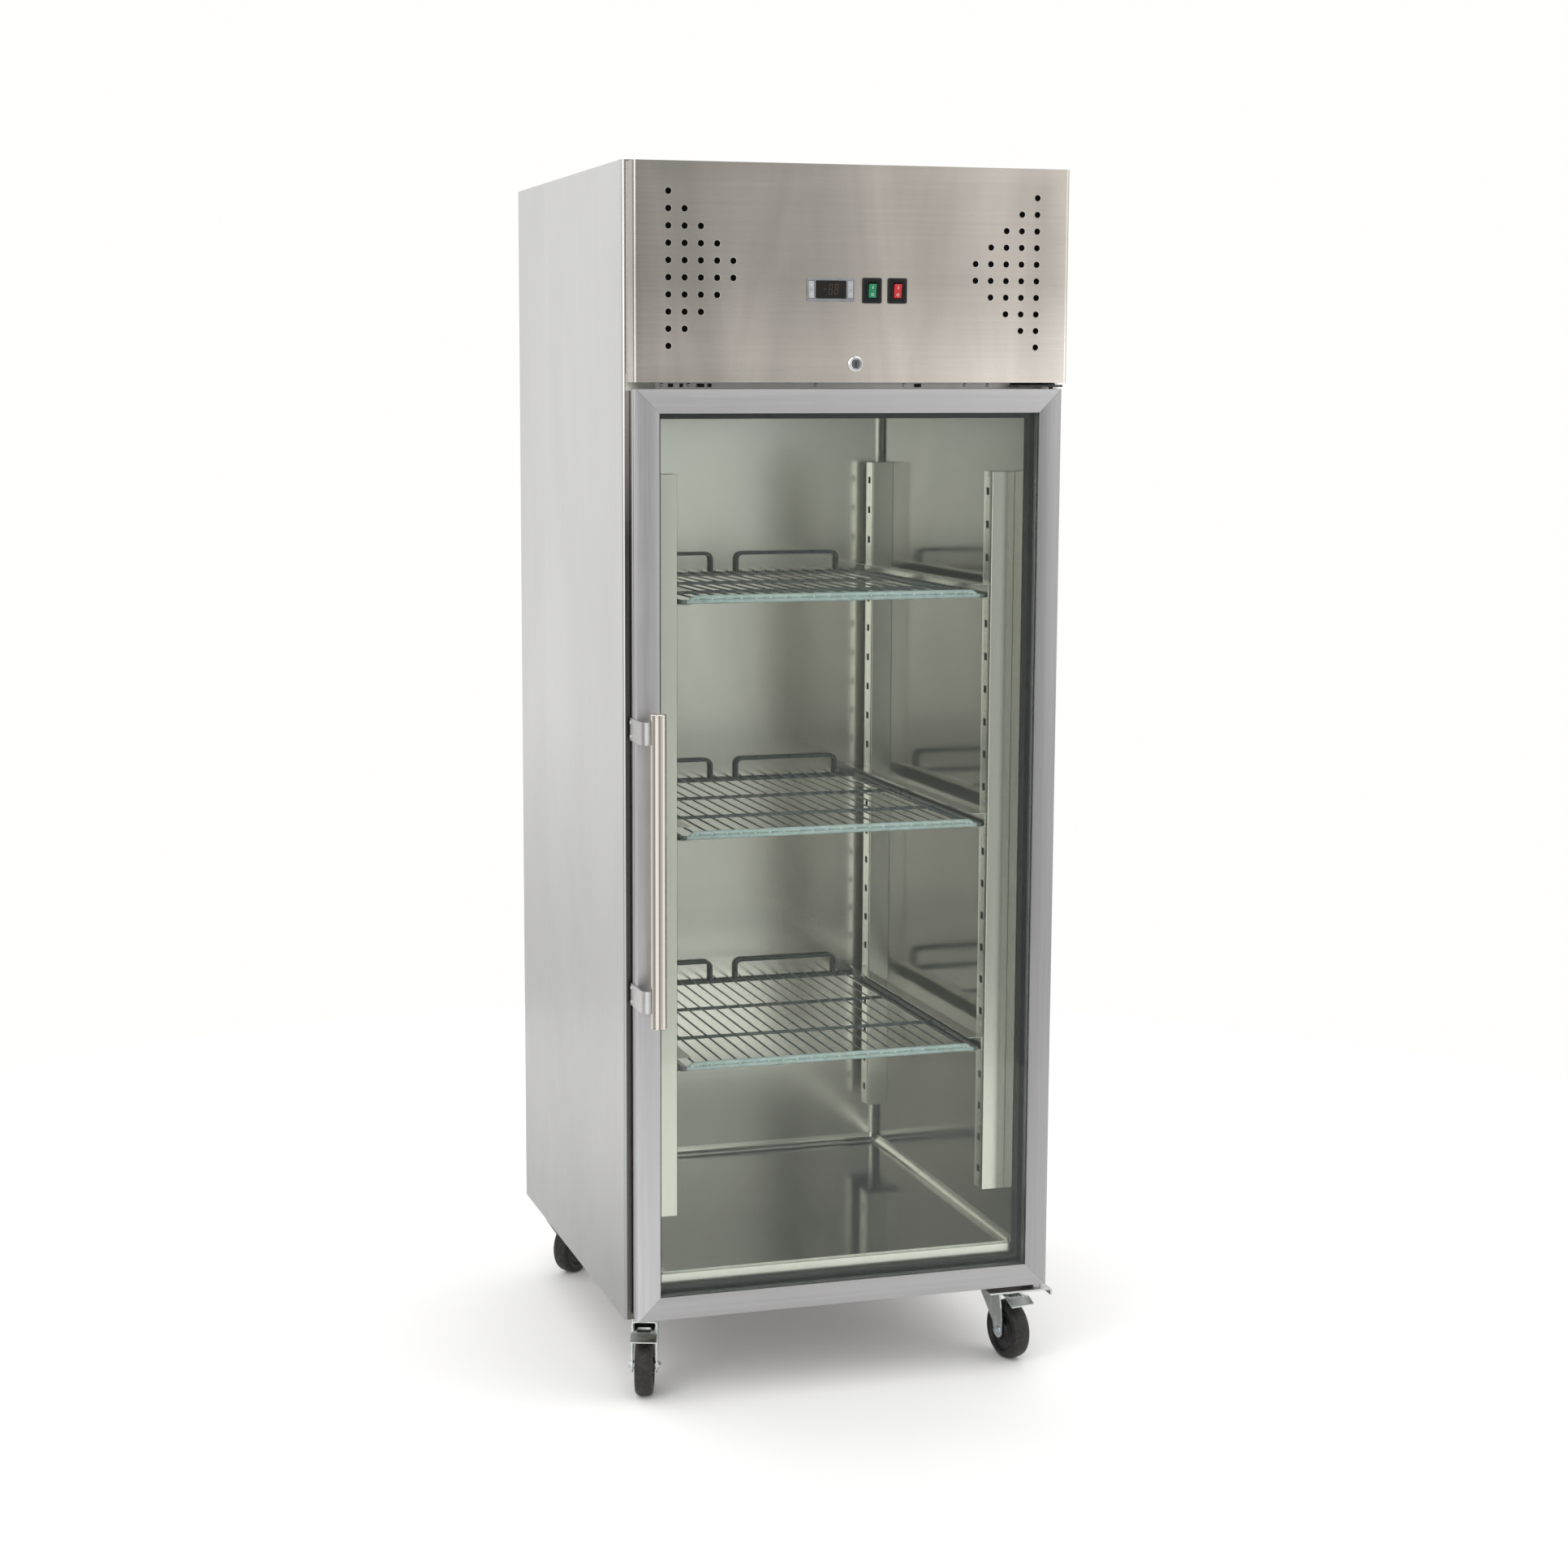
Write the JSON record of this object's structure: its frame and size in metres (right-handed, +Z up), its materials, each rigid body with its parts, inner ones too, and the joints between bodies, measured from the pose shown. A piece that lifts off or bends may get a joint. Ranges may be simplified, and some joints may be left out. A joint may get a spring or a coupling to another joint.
{
  "type": "upright glass door refrigerator",
  "caption": "Tall stainless reach-in refrigerator on casters: one self-closing glass door, wire shelves, top cooling unit behind a vented fascia.",
  "frame": {"origin": "on the floor, under the middle of the whole box", "axes": "+Z up, -Y towards the front (the door), +X towards the hinge side of the door"},
  "size_m": [0.74, 0.836, 2.01],
  "materials": {
    "stainless": "satin",
    "frame": "satin",
    "liner": "satin",
    "chrome": "polished",
    "zinc": "satin",
    "aluminium": "satin",
    "black_metal": "satin",
    "foam": "matte",
    "coated_wire": "satin",
    "glass": "gloss",
    "seal": "matte",
    "black_plastic": "satin",
    "grey_plastic": "satin",
    "green_plastic": "gloss",
    "red_plastic": "gloss",
    "wheel": "satin"
  },
  "bodies": {
    "cabinet": {"side_panel_left": "stainless", "side_panel_right": "stainless", "back_panel": "stainless", "base_panel": "stainless", "machine_deck": "stainless", "fascia_rail": "stainless", "insulation_foam": "foam", "inner_liner": "liner", "pilaster_front_left": "liner", "pilaster_front_right": "liner", "pilaster_rear_left": "liner", "pilaster_rear_right": "liner", "runner_upper_left": "liner", "runner_upper_right": "liner", "runner_middle_left": "liner", "runner_middle_right": "liner", "runner_lower_left": "liner", "runner_lower_right": "liner", "hinge_bracket_upper": "black_metal", "compressor": "black_metal", "condenser_coil": "aluminium", "condenser_fan_motor": "black_metal", "evaporator_coil": "aluminium"},
    "door": {"door_stile_left": "frame", "door_stile_right": "frame", "door_rail_top": "frame", "door_rail_bottom": "frame", "glass_outer": "glass", "glass_inner": "glass", "glazing_spacer": "aluminium", "door_gasket": "seal", "door_handle": "stainless"},
    "fascia": {"fascia_panel": "stainless", "controller_housing": "grey_plastic", "switch_green_housing": "black_plastic", "switch_red_housing": "black_plastic", "lock_body": "chrome"},
    "lock_core": {"lock_cylinder": "chrome"},
    "green_rocker": {"switch_green_rocker": "green_plastic"},
    "red_rocker": {"switch_red_rocker": "red_plastic"},
    "left_keys": {"key_strip_left": "grey_plastic"},
    "right_keys": {"key_strip_right": "grey_plastic"},
    "upper_shelf": {"shelf_upper": "coated_wire", "shelf_stops_upper": "coated_wire"},
    "middle_shelf": {"shelf_middle": "coated_wire", "shelf_stops_middle": "coated_wire"},
    "lower_shelf": {"shelf_lower": "coated_wire", "shelf_stops_lower": "coated_wire"},
    "condenser_fan": {"condenser_fan_blades": "aluminium"},
    "evaporator_fan": {"evaporator_fan_blades": "black_plastic"},
    "fork_front_left": {"caster_fork_front_left": "zinc"},
    "fork_front_right": {"caster_fork_front_right": "zinc"},
    "fork_rear_left": {"caster_fork_rear_left": "zinc"},
    "fork_rear_right": {"caster_fork_rear_right": "zinc"},
    "wheel_front_left": {"caster_wheel_front_left": "wheel"},
    "wheel_front_right": {"caster_wheel_front_right": "wheel"},
    "wheel_rear_left": {"caster_wheel_rear_left": "wheel"},
    "wheel_rear_right": {"caster_wheel_rear_right": "wheel"},
    "pedal_front_left": {"brake_pedal_front_left": "zinc"},
    "pedal_front_right": {"brake_pedal_front_right": "zinc"}
  },
  "joints": [
    {"name": "door_hinge", "type": "hinge", "parent": "cabinet", "child": "door", "pos_m": [0.346, -0.346, 0.9], "axis": [0, 0, 1], "range_deg": [0, 110], "stiffness_Nm_per_rad": 1.5, "springref_deg": -57.3},
    {"name": "fascia_hinge", "type": "hinge", "parent": "cabinet", "child": "fascia", "pos_m": [0, -0.325, 2.006], "axis": [-1, 0, 0], "range_deg": [0, 75]},
    {"name": "lock_turn", "type": "hinge", "parent": "fascia", "child": "lock_core", "pos_m": [0, -0.369, 1.696], "axis": [0, -1, 0], "range_deg": [0, 90]},
    {"name": "green_switch_rock", "type": "hinge", "parent": "fascia", "child": "green_rocker", "pos_m": [0.027, -0.3695, 1.811], "axis": [-1, 0, 0], "range_deg": [0, 16]},
    {"name": "red_switch_rock", "type": "hinge", "parent": "fascia", "child": "red_rocker", "pos_m": [0.0695, -0.3695, 1.811], "axis": [-1, 0, 0], "range_deg": [0, 16]},
    {"name": "left_keys_rock", "type": "hinge", "parent": "fascia", "child": "left_keys", "pos_m": [-0.0745, -0.3706, 1.812], "axis": [1, 0, 0], "range_deg": [-2.5, 2.5], "stiffness_Nm_per_rad": 0.2},
    {"name": "right_keys_rock", "type": "hinge", "parent": "fascia", "child": "right_keys", "pos_m": [-0.0095, -0.3706, 1.812], "axis": [1, 0, 0], "range_deg": [-2.5, 2.5], "stiffness_Nm_per_rad": 0.2},
    {"name": "upper_shelf_slide", "type": "slide", "parent": "cabinet", "child": "upper_shelf", "axis": [0, -1, 0], "range_m": [0, 0.03]},
    {"name": "middle_shelf_slide", "type": "slide", "parent": "cabinet", "child": "middle_shelf", "axis": [0, -1, 0], "range_m": [0, 0.03]},
    {"name": "lower_shelf_slide", "type": "slide", "parent": "cabinet", "child": "lower_shelf", "axis": [0, -1, 0], "range_m": [0, 0.03]},
    {"name": "condenser_fan_spin", "type": "hinge", "parent": "cabinet", "child": "condenser_fan", "pos_m": [-0.14, -0.21, 1.83], "axis": [0, 1, 0], "continuous": true},
    {"name": "evaporator_fan_spin", "type": "hinge", "parent": "cabinet", "child": "evaporator_fan", "pos_m": [0, 0.178, 1.66], "axis": [0, 0, 1], "continuous": true},
    {"name": "front_left_swivel", "type": "hinge", "parent": "cabinet", "child": "fork_front_left", "pos_m": [-0.316, -0.252, 0.13], "axis": [0, 0, 1], "continuous": true},
    {"name": "front_right_swivel", "type": "hinge", "parent": "cabinet", "child": "fork_front_right", "pos_m": [0.316, -0.252, 0.13], "axis": [0, 0, 1], "continuous": true},
    {"name": "rear_left_swivel", "type": "hinge", "parent": "cabinet", "child": "fork_rear_left", "pos_m": [-0.316, 0.348, 0.13], "axis": [0, 0, 1], "continuous": true},
    {"name": "rear_right_swivel", "type": "hinge", "parent": "cabinet", "child": "fork_rear_right", "pos_m": [0.316, 0.348, 0.13], "axis": [0, 0, 1], "continuous": true},
    {"name": "front_left_roll", "type": "hinge", "parent": "fork_front_left", "child": "wheel_front_left", "pos_m": [-0.32712, -0.28624, 0.05], "axis": [-0.9511, 0.309, 0], "continuous": true},
    {"name": "front_right_roll", "type": "hinge", "parent": "fork_front_right", "child": "wheel_front_right", "pos_m": [0.32225, -0.28745, 0.05], "axis": [-0.9848, -0.1736, 0], "continuous": true},
    {"name": "rear_left_roll", "type": "hinge", "parent": "fork_rear_left", "child": "wheel_rear_left", "pos_m": [-0.28925, 0.37209, 0.05], "axis": [0.6691, -0.7431, 0], "continuous": true},
    {"name": "rear_right_roll", "type": "hinge", "parent": "fork_rear_right", "child": "wheel_rear_right", "pos_m": [0.28421, 0.3311, 0.05], "axis": [-0.4695, 0.8829, 0], "continuous": true},
    {"name": "front_left_brake", "type": "hinge", "parent": "fork_front_left", "child": "pedal_front_left", "pos_m": [-0.31724, -0.2558, 0.117], "axis": [0.9511, -0.309, 0], "range_deg": [0, 14]},
    {"name": "front_right_brake", "type": "hinge", "parent": "fork_front_right", "child": "pedal_front_right", "pos_m": [0.3167, -0.25594, 0.117], "axis": [0.9848, 0.1736, 0], "range_deg": [0, 14]}
  ]
}
